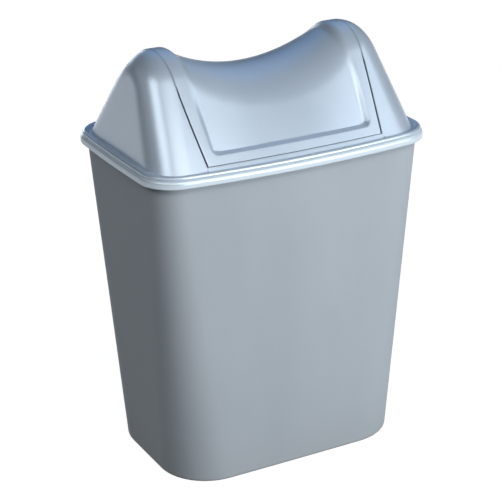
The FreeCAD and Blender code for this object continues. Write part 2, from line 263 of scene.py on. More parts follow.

# %% [markdown]
# Moulded plastic is never one flat colour: the pigment drifts in slow clouds where the melt flowed,
# single flakes show, use leaves hairline scuffs, and a painted shade darkens the foot. Each is a noise
# on Object coordinates, in metres. Real pigment flakes are 0.05 mm, too fine to show at this size, so
# they are drawn at about 1.2 mm, which is a scale of about 1 / 0.0012.

# %% Pigment, wear and painted shade
NOISE_SPAN = (0.3, 0.7)
DRIFT_SCALE = 11.0
FLOW_STRETCH = (1.0, 1.0, 0.35)
FLAKE_SCALE = 830.0
DRIFT_SHARE = 0.75
SCUFF_TURN = (0.3, 0.5, 0.7)
SCUFF_SCALES = (40.0, 900.0, 220.0)
SCUFF_CRESTS = (0.68, 0.76)
SCUFF_LEVEL = 0.05
SHADED_FOOT_BAND = 0.06
FOOT_SHADE_LEVEL = 0.35


def noise(tree, vector, scale, detail):
    """Noise from about 0.3 to 0.7 at the given places."""
    node = add(tree, "ShaderNodeTexNoise", {"Vector": vector, "Scale": scale, "Detail": detail})
    return node.outputs["Fac"]


def pigmented(tree, here, pale, deep):
    """Tint between two tones, and the slow drift it follows, about 90 mm from cloud to cloud."""
    flow = out(tree, "ShaderNodeMapping", {"Vector": here, "Scale": FLOW_STRETCH})
    drift = noise(tree, flow, DRIFT_SCALE, 3.0)
    flakes = noise(tree, here, FLAKE_SCALE, 1.0)
    drift_part = ramped(tree, drift, *NOISE_SPAN, 0.0, DRIFT_SHARE)
    flake_part = ramped(tree, flakes, *NOISE_SPAN, 0.0, 1 - DRIFT_SHARE)
    share = worked(tree, "ADD", drift_part, flake_part)
    return blended(tree, share, linear(deep), linear(pale)), drift


def worn_and_shaded(tree, here, height, drift):
    """Hairline scuffs, the thin crests of a stretched noise, and these together with the painted shade of
    the foot.
    """
    turned = out(tree, "ShaderNodeMapping", {
        "Vector": here, "Rotation": SCUFF_TURN, "Scale": SCUFF_SCALES})
    scuff = ramped(tree, noise(tree, turned, 1.0, 2.0), *SCUFF_CRESTS, 0.0, SCUFF_LEVEL)
    # Painted shade: the colour darkens over the lowest part of the bucket
    foot = ramped(tree, height, 0.0, SHADED_FOOT_BAND, FOOT_SHADE_LEVEL, 0.0)
    foot = worked(tree, "MULTIPLY", foot, drift)
    return scuff, worked(tree, "ADD", scuff, foot, use_clamp=True)


print("the lowest", SHADED_FOOT_BAND * 1000, "mm are greyer")

# %% [markdown]
# One function makes both plastics, as they differ only in tone, gloss and grain. The bucket's tool was
# polished around the rim, so above a given height the finish turns glossy and takes a paler painted
# highlight, and the rim needs no material of its own.

# %% Finish of the moulded plastics
RIM_ROUGHNESS = 0.32
RIM_METALLIC = 0.26
RIM_HIGHLIGHT_COLOUR = "#c6d5e1"
POLISH_FADE = 0.002
WORN_AND_SHADED_COLOUR = "#8d918f"
ROUGH_SPREAD = 0.03
GRAIN_STRENGTH = 0.25
PLASTIC_IOR = 1.49


def new_material(name):
    """A new material, its node tree and the inputs of the Principled BSDF in it."""
    material = bpy.data.materials.new(name)
    material.use_nodes = True
    tree = material.node_tree
    return material, tree, tree.nodes["Principled BSDF"].inputs


def moulded_plastic(name, pale, deep, roughness, metallic, specular, grain_mm, grain_depth,
                    polished_and_highlit_from=None):
    """Pigmented polypropylene: drifting pigment, flakes, moulded grain, scuffs, painted foot shade and a
    polished rim with a painted highlight.
    """
    material, tree, surface = new_material(name)
    here = add(tree, "ShaderNodeTexCoord").outputs["Object"]
    height = add(tree, SPLIT, {0: here}).outputs[2]
    tint, drift = pigmented(tree, here, pale, deep)
    scuff, wear_and_shade = worn_and_shaded(tree, here, height, drift)
    # Real scuffs and the painted shade of the foot both mix in this darker colour
    tint = blended(tree, wear_and_shade, tint, linear(WORN_AND_SHADED_COLOUR))
    rough = ramped(tree, drift, *NOISE_SPAN, roughness - ROUGH_SPREAD, roughness + ROUGH_SPREAD)
    rough = worked(tree, "ADD", rough, scuff, use_clamp=True)
    surface["Metallic"].default_value = metallic
    if polished_and_highlit_from is not None:
        polish_and_highlight = ramped(tree, height, polished_and_highlit_from, polished_and_highlit_from + POLISH_FADE)
        rough = out(tree, "ShaderNodeMix", {"Factor": polish_and_highlight, "A": rough, "B": RIM_ROUGHNESS})
        tree.links.new(ramped(tree, polish_and_highlight, 0.0, 1.0, metallic, RIM_METALLIC), surface["Metallic"])
        # Painted highlight: the rim's colour turns paler here, on top of its real gloss
        tint = blended(tree, polish_and_highlight, tint, linear(RIM_HIGHLIGHT_COLOUR))
    grain = noise(tree, here, 1000.0 / grain_mm, 2.0)
    bump = out(tree, "ShaderNodeBump", {
        "Height": grain, "Strength": GRAIN_STRENGTH, "Distance": grain_depth / 1000})
    tree.links.new(tint, surface["Base Color"])
    tree.links.new(rough, surface["Roughness"])
    tree.links.new(bump, surface["Normal"])
    surface["IOR"].default_value = PLASTIC_IOR
    surface["Specular IOR Level"].default_value = specular
    return material


matt_body = moulded_plastic(
    "sandblasted_pigmented_polypropylene", pale="#a6b0b9", deep="#9da7b0", roughness=0.55,
    metallic=0.03, specular=0.12, grain_mm=1.3, grain_depth=0.25, polished_and_highlit_from=0.378)
satin_lid = moulded_plastic(
    "satin_pigmented_polypropylene", pale="#bccbda", deep="#b2c2d2", roughness=0.34,
    metallic=0.4, specular=0.5, grain_mm=1.6, grain_depth=0.05)
print("made", matt_body.name, "and", satin_lid.name)

# %% [markdown]
# Every moulding starts as a profile or a stack of loops and ends as a plain mesh. Modifiers could stay
# on the pieces, but a plain mesh shows at once whether it is closed. Its faces are turned outwards, and
# only creases over 38 degrees stay sharp.

# %% Helpers for mouldings
CREASE_ANGLE = math.radians(38)
DOUBLE_DISTANCE = 1e-6
SLIVER_LENGTH = 1e-7


def fillet(centre, radius, start, end, steps):
    """Points of an arc in the profile plane, angles in degrees from outwards towards up."""
    turns = np.radians(np.linspace(start, end, steps + 1))
    return [(centre[0] + radius * math.cos(turn), centre[1] + radius * math.sin(turn))
            for turn in turns]


def placed(name, data):
    """A new object in the scene."""
    piece = bpy.data.objects.new(name, data)
    bpy.context.collection.objects.link(piece)
    return piece


def carried_piece(name, profile, material):
    """Plain mesh of a profile of (reach, height, share, spread), carried round the outline."""
    profile = np.array(profile, dtype=float)
    places = np.stack([profile[:, 0], 0 * profile[:, 0], profile[:, 1]], axis=1)
    profile_guide = guide(name + "_profile", places, share=profile[:, 2], spread=profile[:, 3])
    carrier = placed(name, bpy.data.meshes.new(name))
    modifier = carrier.modifiers.new("carry", "NODES")
    modifier.node_group = carry
    values = {"Foot outline": foot_guide, "Mouth outline": mouth_guide, "Profile": profile_guide,
              "Around": around, "Along": len(profile), "Material": material}
    for title, value in values.items():
        modifier[identifiers[title]] = value
    ready = carrier.evaluated_get(bpy.context.evaluated_depsgraph_get())
    mesh = bpy.data.meshes.new_from_object(ready)
    bpy.data.objects.remove(carrier)
    mesh.name = name
    return mesh


def tidy(mesh):
    """Merges doubles, turns the faces outwards and shades smoothly between the creases."""
    work = bmesh.new()
    work.from_mesh(mesh)
    bmesh.ops.remove_doubles(work, verts=work.verts, dist=DOUBLE_DISTANCE)
    bmesh.ops.dissolve_degenerate(work, edges=work.edges, dist=SLIVER_LENGTH)
    bmesh.ops.recalc_face_normals(work, faces=work.faces)
    open_edges = sum(not edge.is_manifold for edge in work.edges)
    work.to_mesh(mesh)
    work.free()
    mesh.polygons.foreach_set("use_smooth", [True] * len(mesh.polygons))
    mesh.set_sharp_from_angle(angle=CREASE_ANGLE)
    print(mesh.name, len(mesh.polygons), "faces,", open_edges, "open edges")
    return mesh


print("creases over", round(math.degrees(CREASE_ANGLE)), "degrees stay sharp")

# %% [markdown]
# The bucket is one injection moulding. Its wall runs up from a rounded foot to a rim that rolls over
# and hangs open underneath, which stiffens the mouth and gives fingers a hold. The profile walks once
# over the whole skin, from the middle of the underside, up the outside, over the rim, and down the
# inside to the middle of the floor, so the shell is closed and has its real wall thickness.

# %% Bucket
BUCKET_HEIGHT = 389.5
WALL = 2.2
FOOT_FILLET = 4
INSIDE_FILLET = 8
RIM_REACH = 7.4
RIM_CROWN = 5.6
INSIDE_FLOOR = 2.6
INSIDE_SHARE = 0.0067


def on_wall(points):
    """Profile points on the tapered wall, whose outline follows the height."""
    return [(reach, height, height / BUCKET_HEIGHT, 1) for reach, height in points]


def at_mouth(points):
    """Profile points on the outline of the mouth."""
    return [(reach, height, 1, 1) for reach, height in points]


wall_heights = [4.5, 6] + list(np.linspace(20, 375, 15)) + [386]
crown_centre = (RIM_REACH - RIM_CROWN, BUCKET_HEIGHT - RIM_CROWN)

# The underside and the outer wall
skin = [(-FOOT_FILLET, 0, 0, 0), (-FOOT_FILLET, 0, 0, 0.5), (-5, 0, 0, 1)]
skin += on_wall(fillet((-FOOT_FILLET, FOOT_FILLET), FOOT_FILLET, -90, 0, 6))
skin += on_wall([(0, height) for height in wall_heights])

# The hollow under the rim, its hanging edge, its crown and its inner lip
skin += at_mouth([(0.3, 387.3), (4.6, 387.3), (5.2, 386.7), (5.2, 380.5), (5.2, 379.3)])
skin += at_mouth(fillet((6.0, 380.7), 1.4, -90, 0, 4) + [(RIM_REACH, 381.4), (RIM_REACH, 383.4)])
skin += at_mouth(fillet(crown_centre, RIM_CROWN, 0, 90, 10))
skin += at_mouth([(1.0, BUCKET_HEIGHT), (-0.8, BUCKET_HEIGHT)])
skin += at_mouth(fillet((-1.4, 388.7), 0.8, 90, 180, 3))

# The inner wall and the floor
skin += on_wall([(-WALL, height) for height in [387] + wall_heights[-2:1:-1] + [11.5]])
skin += on_wall(fillet((-WALL - INSIDE_FILLET, INSIDE_FLOOR + INSIDE_FILLET), INSIDE_FILLET, 0, -90, 8))
skin += [(-11.5, INSIDE_FLOOR, INSIDE_SHARE, 1), (-10, INSIDE_FLOOR, INSIDE_SHARE, 0.5),
         (-10, INSIDE_FLOOR, INSIDE_SHARE, 0)]
body_piece = placed("bin_body_shell", tidy(carried_piece("bin_body_shell", skin, matt_body)))

# %% [markdown]
# The lid sits on the rim with a flange. A round ridge runs along the flange's edge and a skirt hangs
# down inside the bucket's wall to keep the lid in place. Both are carried round the same outline. The
# profile is a closed loop here, so its last point repeats its first and the seam is merged.

# %% Flange, ridge and skirt of the lid
SKIRT_FOOT = 374.5
SKIRT_SHARE = SKIRT_FOOT / BUCKET_HEIGHT
SKIRT_INSIDE = -4.8
SKIRT_OUTSIDE = -2.8
RIDGE_RADIUS = 3.2


def on_skirt(points):
    """Profile points on the skirt, which keeps the bucket's outline at the height of its own foot."""
    return [(reach, height, SKIRT_SHARE, 1) for reach, height in points]


flange = on_skirt([(SKIRT_INSIDE, SKIRT_FOOT), (SKIRT_OUTSIDE, SKIRT_FOOT), (SKIRT_OUTSIDE, 388.5)])
flange += at_mouth([(-2.0, BUCKET_HEIGHT), (4.4, BUCKET_HEIGHT), (4.8, 389.7), (4.8, 390.0)])
flange += at_mouth(fillet((1.6, 390.0), RIDGE_RADIUS, 0, 118, 10))
flange += at_mouth([(-1.6, 391.7), (-3.0, 390.6), (-4.0, 390.6)])
flange += on_skirt([(SKIRT_INSIDE, BUCKET_HEIGHT), (SKIRT_INSIDE, SKIRT_FOOT)])
flange_mesh = tidy(carried_piece("lid_flange", flange, satin_lid))

# %% [markdown]
# The hood is a gable with a round top. Across the bin each section is a straight slope that runs into
# a top arc, and along the bin the foot of the slope bows. A row of the mesh is a height on the straight
# slope, or above that a share of the way from there over the arc to the ridge. Sculpting would give a
# similar look, but the rule lets the flap and the cheeks share one surface, so their gaps stay even.

# %% Surface of the gable
SEAT = BUCKET_HEIGHT
APEX = 502.9
LOW = 369.5
TOP_RADIUS = 59.5
STRAIGHT_TOP = 430.0
HOOD_HALF_WIDTH = 117.0
HOOD_HALF_LENGTH = 170.0
HOOD_BOW = 12.9


def gable(foot_y, foot_z, apex, radius):
    """Slope of a straight side that runs from its foot to a round top."""
    rise = apex - radius - foot_z
    return math.atan2(rise, foot_y) + math.asin(radius / math.hypot(foot_y, rise))


def climb(foot_y, foot_z, apex, radius, row):
    """Half width, height and normal angle on a gable section at a row (height, share)."""
    height, share = row
    slope = gable(foot_y, foot_z, apex, radius)
    centre = apex - radius
    left = (centre + radius * math.cos(slope) - height) / math.sin(slope)
    way = share * (left + radius * slope)
    if way <= left:
        height = height + way * math.sin(slope)
        return foot_y - (height - foot_z) / math.tan(slope), height, slope
    turn = slope - (way - left) / radius
    return radius * math.sin(turn), centre + radius * math.cos(turn), turn


FOOT_SLOPE = gable(HOOD_HALF_WIDTH, SEAT, APEX, TOP_RADIUS)


def hood_foot(x, inset):
    """Half width of the hood at x, at the height LOW, for a skin that lies an inset inside."""
    bowed = HOOD_HALF_WIDTH - HOOD_BOW * (x / HOOD_HALF_LENGTH) ** 2
    return bowed + (SEAT - LOW) / math.tan(FOOT_SLOPE) - inset / math.sin(FOOT_SLOPE)


def hood_at(x, row, inset):
    """Half width, height and normal angle of the hood's slope at x."""
    return climb(hood_foot(x, inset), LOW, APEX - inset, TOP_RADIUS - inset, row)


print("slope at the foot", round(math.degrees(FOOT_SLOPE), 1), "degrees")

# %% [markdown]
# The flap swings between the cheeks about an axis below the ridge. So that it clears them at every
# angle, each gap is a surface of revolution about that axis. A plane across the axis would do, but the
# gaps in the photograph lean inwards at the foot, so each one is a flat cone.

# %% Gaps between the flap and the cheeks
PIVOT = 466.5
END_SLOPE = math.tan(math.radians(6.2))
BOSS_RADIUS = 8.0
GAP_ROUNDS = 12


def gap_x(half_span, half_width, height):
    """Distance from the middle of a flat cone about the pivot axis, where the flap meets a cheek."""
    reach = math.hypot(half_width, height - PIVOT)
    return half_span - max(reach - BOSS_RADIUS, 0) * END_SLOPE


def gap_edge(half_span, row, inset):
    """Where the slope meets that cone: x, half width, height and normal angle."""
    x = half_span
    for _ in range(GAP_ROUNDS):
        half_width, height, turn = hood_at(x, row, inset)
        x = gap_x(half_span, half_width, height)
    return x, half_width, height, turn


print("gaps lean by", round(END_SLOPE, 3), "mm for each mm from the axis")

# %% [markdown]
# Each moulding is a stack of closed loops, from its lower edge to the ridge, once for the outer skin
# and once for the inner skin 2.2 mm inside it. At the ridge the front and back halves of a loop meet,
# so merging them closes the seam. Moulded edges are never knife sharp, so each loop turns over the gap
# edges with a rounding of 0.6 mm, which catches the thin light lines there.

# %% Loops to mesh
EDGE = 0.6
EDGE_TURNS = np.radians([0, 30, 60, 90])
END_POINTS = 10
TO_BACK = (1, -1, 1)
TO_LEFT = (-1, 1, 1)


def from_loops(name, loops, material):
    """Mesh through loops of equal length, each joined to the next."""
    loops = [np.asarray(loop) for loop in loops]
    count = len(loops[0])
    points = np.vstack(loops) / 1000
    faces = []
    for level in range(len(loops) - 1):
        this = level * count
        following = this + count
        for place in range(count):
            beside = (place + 1) % count
            faces.append((this + place, this + beside, following + beside, following + place))
    mesh = bpy.data.meshes.new(name)
    mesh.from_pydata(points.tolist(), [], faces)
    mesh.materials.append(material)
    return tidy(mesh)


def turned_edge(edge, away):
    """Rounds the gap edge of a slope: away is +1 where the moulding lies at greater x, or -1."""
    x, half_width, height, turn = edge
    return [(x + away * EDGE * (1 - math.sin(angle)),
             -half_width + math.sin(turn) * EDGE * (1 - math.cos(angle)),
             height - math.cos(turn) * EDGE * (1 - math.cos(angle))) for angle in EDGE_TURNS]


def end_wall(half_span, start):
    """Points across a conical end wall at one height, from the front edge to the back edge."""
    shares = np.linspace(-1, 1, END_POINTS + 2)[1:-1]
    return [(gap_x(half_span, abs(share * start[1]), start[2]), -share * start[1], start[2])
            for share in shares]


print("edges are rounded by", EDGE, "mm")

# %% [markdown]
# A cheek closes each end of the hood. Its outside runs from the gap, along the slope, round a corner
# and over the leaning end. The corner is what a ball would leave if it rolled up the angle between
# slope and end: it touches both, and its radius shrinks from 46 mm at the foot to 34 mm at the ridge.
# A bevel has one width all along, so the ball's centre is worked out row by row instead.

# %% Corner of a cheek
LEAN = math.radians(11.5)
END_NORMAL = np.array([math.cos(LEAN), 0, math.sin(LEAN)])
CORNER_AT_FOOT = 46.0
CORNER_SHRINK = 12.0
CORNER_X = 150.0
BALL_START_X = 120.0
BALL_ROUNDS = 10


def slope_normal(x, row, inset):
    """Point of the front slope and its outward direction."""
    half_width, height, turn = hood_at(x, row, inset)
    wider, higher, _ = hood_at(x + 1, row, inset)
    along = np.array([1, half_width - wider, higher - height])
    upwards = np.array([0, math.cos(turn), math.sin(turn)])
    normal = np.cross(along, upwards)
    return np.array([x, -half_width, height]), normal / np.linalg.norm(normal)


def corner_ball(row, inset):
    """Touching point on the slope, centre, radius and slope direction of the ball at a row."""
    foot = hood_foot(CORNER_X, inset)
    slope = gable(foot, LOW, APEX - inset, TOP_RADIUS - inset)
    top = (APEX - inset) - (TOP_RADIUS - inset) * (1 - math.cos(slope))
    whole = (top - LOW) / math.sin(slope) + (TOP_RADIUS - inset) * slope
    done = (row[0] - LOW) / math.sin(slope) / whole
    done = done + (1 - done) * row[1]
    radius = CORNER_AT_FOOT - CORNER_SHRINK * done - inset
    x = BALL_START_X
    for _ in range(BALL_ROUNDS):
        touch, normal = slope_normal(x, row, inset)
        centre = touch - radius * normal
        end_x = HOOD_HALF_LENGTH - (centre[2] - SEAT) * math.tan(LEAN)
        x = x + end_x - (inset + radius) / math.cos(LEAN) - centre[0]
    return touch, centre, radius, normal


def ball_point(row, inset, part):
    """Point of the corner, part of the way round from the slope to the end, and its direction."""
    _, centre, radius, normal = corner_ball(row, inset)
    spread = math.acos(float(np.clip(normal @ END_NORMAL, -1, 1)))
    way = math.sin((1 - part) * spread) * normal + math.sin(part * spread) * END_NORMAL
    way = way / math.sin(spread)
    return centre + radius * way, way


def corner_row(progress):
    """Row at a progress from 0, low on the slope, over 1, the straight part's top, to 2, the ridge."""
    if progress <= 1:
        return LOW + (STRAIGHT_TOP - LOW) * progress, 0.0
    return STRAIGHT_TOP, progress - 1


print("corner radius at the ridge", round(corner_ball(corner_row(2), 0)[2], 1), "mm")

# %% [markdown]
# With the corner known, a loop goes all the way round a cheek: slope, corner, end, and the conical wall
# at the gap. A flat brim at the foot runs under the flange's ridge, as the real lid is one moulding.
# One cheek is made, and the other is its mirror image.

# %% Cheeks
CHEEK_SPAN = 125.0
SLOPE_SHARES = (0.06, 0.15, 0.3, 0.45, 0.6, 0.75, 0.9)
BALL_PARTS = np.linspace(0, 1, 13)
BRIM_TOP = 391.2
BRIM_FOOT = 389.7
BRIM_REACH = 6.8
BRIM_CORNER_GAIN = 0.45
BRIM_HALVINGS = 24


def halved(low, high, rounds, below):
    """Halves a span again and again, round the value up to which below holds."""
    for _ in range(rounds):
        middle = (low + high) / 2
        if below(middle):
            low = middle
        else:
            high = middle
    return low, high


def foot_progress(inset, part):
    """Progress at which a line up the corner passes the height of the brim."""
    def below(progress):
        return ball_point(corner_row(progress), inset, part)[0][2] < BRIM_TOP
    return halved(0.0, 1.5, BRIM_HALVINGS, below)[1]


foot_starts = {inset: [foot_progress(inset, part) for part in BALL_PARTS] for inset in (0, WALL)}


def cheek_loop(climbed, inset, foot_out=0.0, foot_z=None):
    """Loop round the right cheek, climbed from 0 at the brim to 1 at the ridge.

    foot_out pushes its outside outwards for the brim, and foot_z sets its height.
    """
    starts = [start + (2 - start) * climbed for start in foot_starts[inset]]
    row = corner_row(starts[0])
    edge = gap_edge(CHEEK_SPAN + inset, row, inset)
    touch = corner_ball(row, inset)[0]
    front = turned_edge(edge, 1)[::-1]
    for share in SLOPE_SHARES:
        x = edge[0] + EDGE + (touch[0] - edge[0] - EDGE) * share
        half_width, height, _ = hood_at(x, row, inset)
        front.append((x, -half_width, height))
    front = np.array(front) - (0, foot_out, 0)
    corner = []
    for start, part in zip(starts, BALL_PARTS):
        point, way = ball_point(corner_row(start), inset, part)
        if foot_out:
            reach = foot_out * (1 + BRIM_CORNER_GAIN * math.sin(math.pi * part))
            point = point + reach * way * (1, 1, 0) / math.hypot(way[0], way[1])
        corner.append(point)
    front = np.vstack([front, corner])
    across = np.linspace(front[-1], front[-1] * TO_BACK, END_POINTS + 2)[1:-1]
    wall = np.array(end_wall(CHEEK_SPAN + inset, front[0])) * TO_BACK
    loop = np.vstack([front, across, front[::-1] * TO_BACK, wall])
    if foot_z is not None:
        loop[:, 2] = foot_z
    return loop


climbs = [0, 0.008, 0.02] + list(np.linspace(0.04, 1, 46))
cheek_loops = [cheek_loop(climbed, WALL) for climbed in reversed(climbs)]
cheek_loops += [cheek_loop(0, WALL, 0.0, BRIM_FOOT), cheek_loop(0, 0, BRIM_REACH, BRIM_FOOT)]
cheek_loops += [cheek_loop(0, 0, BRIM_REACH)] + [cheek_loop(climbed, 0) for climbed in climbs]
hood_meshes = [flange_mesh]
hood_meshes.append(from_loops("right_cheek", cheek_loops, satin_lid))
hood_meshes.append(from_loops("left_cheek", [loop * TO_LEFT for loop in cheek_loops], satin_lid))

# %% [markdown]
# Between the cheeks the hood is cut away for the flap, and only a low rail is left in front and behind.
# Its top follows the arc on which the flap's lower edge swings, 0.3 mm further out, so the flap clears
# it at every angle. A rail is swept along the bin as a closed section, drawn to a point at its ends.

# %% Rails
FLAP_FOOT = 396.0
FLAP_GAP = 0.3
RAIL_SINK = 0.03
RAIL_ROUNDING = 0.4
RAIL_BRIM = 6
RAIL_STEP = 1
RAIL_INNER_HEIGHTS = (392.5, BRIM_FOOT)
RAIL_HALVINGS = 40
RAIL_SECTIONS = 41
RAIL_OVERLAP = 1.5


def rail_section(x, side):
    """Closed section of a rail at x, from the brim over the crest to the swing arc."""
    reach = math.hypot(hood_at(x, (FLAP_FOOT, 0.0), 0)[0], PIVOT - FLAP_FOOT) + FLAP_GAP

    def outside(height):
        return math.hypot(hood_at(x, (height, 0.0), RAIL_SINK)[0], PIVOT - height) > reach

    low = halved(BRIM_FOOT, FLAP_FOOT, RAIL_HALVINGS, outside)[0]
    crest = np.array([hood_at(x, (low, 0.0), RAIL_SINK)[0], low])
    foot = np.array([hood_at(x, (BRIM_TOP, 0.0), RAIL_SINK)[0], BRIM_TOP - RAIL_SINK])
    down = (foot - crest) / np.linalg.norm(foot - crest)
    inward = np.array([crest[1] - PIVOT, -crest[0]]) / reach
    before = crest + down * RAIL_ROUNDING
    after = crest + inward * RAIL_ROUNDING
    section = [(foot[0] + RAIL_BRIM, BRIM_FOOT), (foot[0] + RAIL_BRIM, foot[1])]
    section += [(foot[0] + RAIL_STEP, foot[1]), foot, foot * 0.6 + before * 0.4]
    for part in np.linspace(0, 1, 5):
        section.append(before * (1 - part) ** 2 + crest * 2 * part * (1 - part) + after * part ** 2)
    section += [(math.sqrt(reach ** 2 - (PIVOT - height) ** 2), height)
                for height in RAIL_INNER_HEIGHTS]
    return np.array([(x, side * half_width, height) for half_width, height in section])


RAIL_HALF_SPAN = gap_edge(CHEEK_SPAN, (BRIM_TOP, 0.0), 0)[0] + RAIL_OVERLAP
rail_places = np.linspace(-RAIL_HALF_SPAN, RAIL_HALF_SPAN, RAIL_SECTIONS)
for title, side in (("front_rail", -1), ("back_rail", 1)):
    sections = [rail_section(x, side) for x in rail_places]
    ends = [np.repeat(section.mean(axis=0)[None], len(section), axis=0)
            for section in (sections[0], sections[-1])]
    hood_meshes.append(from_loops(title, ends[:1] + sections + ends[1:], satin_lid))
print("rails end at", round(RAIL_HALF_SPAN, 1), "mm from the middle")

# %% [markdown]
# The flap swings on two pins, and each pin passes through a boss on the cheek's inner wall into a boss
# on the flap's end wall. They are short tubes lathed round the pivot axis. A pin turns freely in the
# hood's bore and sits tight in the flap's.

# %% Pivot bosses and the finished hood
PIN_RADIUS = 4.0
HOOD_BOSS = dict(start=126.0, end=133.2, bore=PIN_RADIUS + 0.08)
BOSS_POINTS = 48


def boss(name, side, start, end, bore):
    """Tube round the pivot axis between two distances from the middle, its outer rim bevelled."""
    profile = [(start, bore), (end, bore), (end, BOSS_RADIUS - EDGE), (end - EDGE, BOSS_RADIUS),
               (start, BOSS_RADIUS), (start, bore)]
    turns = np.linspace(0, 2 * math.pi, BOSS_POINTS, endpoint=False)
    loops = [np.array([(side * x, radius * math.cos(turn), PIVOT + radius * math.sin(turn))
                       for turn in turns]) for x, radius in profile]
    return from_loops(name, loops, satin_lid)


def joined(name, meshes):
    """One object from several meshes, each of which already faces outwards."""
    work = bmesh.new()
    for mesh in meshes:
        work.from_mesh(mesh)
    whole = bpy.data.meshes.new(name)
    work.to_mesh(whole)
    work.free()
    whole.materials.append(satin_lid)
    print(name, len(whole.polygons), "faces")
    return placed(name, whole)


for side in (-1, 1):
    hood_meshes.append(boss("hood_boss", side, **HOOD_BOSS))
hood_piece = joined("lid_hood_shell", hood_meshes)

# %% [markdown]
# The flap carries the lid's one piece of styling: a panel sunk into both slopes that runs over the top
# as a saddle. The panel's own surface is a gable too, with a wider top arc and a ridge that sags in the
# middle. Between border and panel the skin rolls down an S-shaped wall, so the mesh takes the border
# surface and the panel surface and fades from one to the other by the distance to a rounded edge.

# %% Sunk panel
FOOT_BORDER = 11.0
PANEL_FOOT = FLAP_FOOT + FOOT_BORDER * math.sin(FOOT_SLOPE)
PANEL_DEPTH = 5.5
PANEL_CORNER = 8.5
SADDLE_HALF_SPAN = 112.0
SADDLE_DIP = 31.0
SADDLE_BLEND = 14.0
SADDLE_EDGE_DEPTH = 1.0
SADDLE_RADIUS = 92.0
FOOT_WALL = 2.2


def saddle_ridge(x):
    """Height of the panel's ridge: a hollow arc with a round shoulder at each end."""
    both = (SADDLE_HALF_SPAN ** 2 + SADDLE_DIP ** 2) / (2 * SADDLE_DIP)
    hollow = both - SADDLE_BLEND
    shoulder = APEX - SADDLE_EDGE_DEPTH
    x = min(abs(x), SADDLE_HALF_SPAN)
    if x < SADDLE_HALF_SPAN * hollow / both:
        return shoulder - SADDLE_DIP + hollow - math.sqrt(hollow ** 2 - x ** 2)
    return shoulder - SADDLE_BLEND + math.sqrt(SADDLE_BLEND ** 2 - (SADDLE_HALF_SPAN - x) ** 2)


def panel_at(x, row, inset):
    """Half width, height and normal angle of the sunk panel at x."""
    ridge = saddle_ridge(x) - inset
    sunk = (APEX - inset - ridge) / (SADDLE_DIP + SADDLE_EDGE_DEPTH)
    radius = TOP_RADIUS + (SADDLE_RADIUS - TOP_RADIUS) * sunk - inset
    foot_y = hood_at(x, (PANEL_FOOT - inset, 0.0), PANEL_DEPTH + inset)[0]
    return climb(foot_y, PANEL_FOOT - inset, ridge, radius, row)


def sunk_share(from_side, from_foot, side_wall):
    """0 on the border, 1 on the panel, fading over the walls of a recess with round lower corners."""
    if from_side < PANEL_CORNER and from_foot < PANEL_CORNER:
        side_lack = PANEL_CORNER - from_side
        foot_lack = PANEL_CORNER - from_foot
        lack = math.hypot(side_lack, foot_lack)
        lean = (side_lack / lack) ** 2
        depth = (PANEL_CORNER - lack) / (side_wall * lean + FOOT_WALL * (1 - lean))
    else:
        depth = min(from_side / side_wall, from_foot / FOOT_WALL)
    depth = min(max(depth, 0.0), 1.0)
    return depth * depth * (3 - 2 * depth)


print("the saddle sags to", round(saddle_ridge(0), 1), "mm")

# %% [markdown]
# The flap's loops go round its front, right end, back and left end. Columns follow the slanting edge of
# the panel, so the wall of the recess stays smooth without a very dense mesh. That wall grows wider on
# its way up, as the softer shading in the photograph shows.

# %% Flap
FLAP_SPAN = 123.5
SIDE_BORDER = 10.0
SIDE_WALL_AT_FOOT = 5.5
SIDE_WALL_GAINS = (4.0, 6.0)
SIDE_WALL_STAGE = 50.0
ROUND_TOP_WAY = 90.0
FOOT_ROUNDING = 0.15
RIDGE_ROWS = 57
PANEL_SHARES = (0, 0.12, 0.24, 0.36, 0.48, 0.6, 0.7, 0.79, 0.86, 0.92, 0.965, 1)
WALL_SHARES = np.linspace(0.94, 0, 17)
BORDER_SHARES = (0.3, 0.6, 0.88)
FLAP_BOSS = dict(start=112.3, end=122.0, bore=PIN_RADIUS + 0.02)


def side_wall_width(from_foot):
    """Width of the recess wall at a way up the slope, which grows in two stages of 50 mm."""
    width = SIDE_WALL_AT_FOOT
    for stage, gain in enumerate(SIDE_WALL_GAINS):
        done = (from_foot - stage * SIDE_WALL_STAGE) / SIDE_WALL_STAGE
        width += gain * min(max(done, 0.0), 1.0)
    return width


def flap_loop(row, inset):
    """Loop round the flap: front, right end wall, back, left end wall."""
    span = FLAP_SPAN - inset
    edge = gap_edge(span, row, inset)
    panel_edge = gap_edge(span - SIDE_BORDER + 2 * inset, row, inset)[0]
    from_foot = (row[0] - PANEL_FOOT) / math.sin(FOOT_SLOPE) + ROUND_TOP_WAY * row[1]
    side_wall = side_wall_width(from_foot)
    places = [(panel_edge - side_wall) * share for share in PANEL_SHARES]
    places += [panel_edge - side_wall * share for share in WALL_SHARES]
    places += [panel_edge + (edge[0] - EDGE - panel_edge) * share for share in BORDER_SHARES]
    front = []
    for x in places:
        border_y, border_z, _ = hood_at(x, row, inset)
        panel_y, panel_z, _ = panel_at(x, row, inset)
        share = sunk_share(panel_edge - x, from_foot, side_wall)
        half_width = border_y + (panel_y - border_y) * share
        front.append((x, -half_width, border_z + (panel_z - border_z) * share))
    front = np.array(front + turned_edge(edge, -1))
    wall = np.array(end_wall(span, front[-1]))
    half = np.vstack([front, wall, front[:0:-1] * TO_BACK])
    middle = front[:1] * TO_BACK
    loop = np.vstack([half, middle, half[:0:-1] * TO_LEFT])
    loop[:, 2] = np.maximum(loop[:, 2], FLAP_FOOT)
    return loop


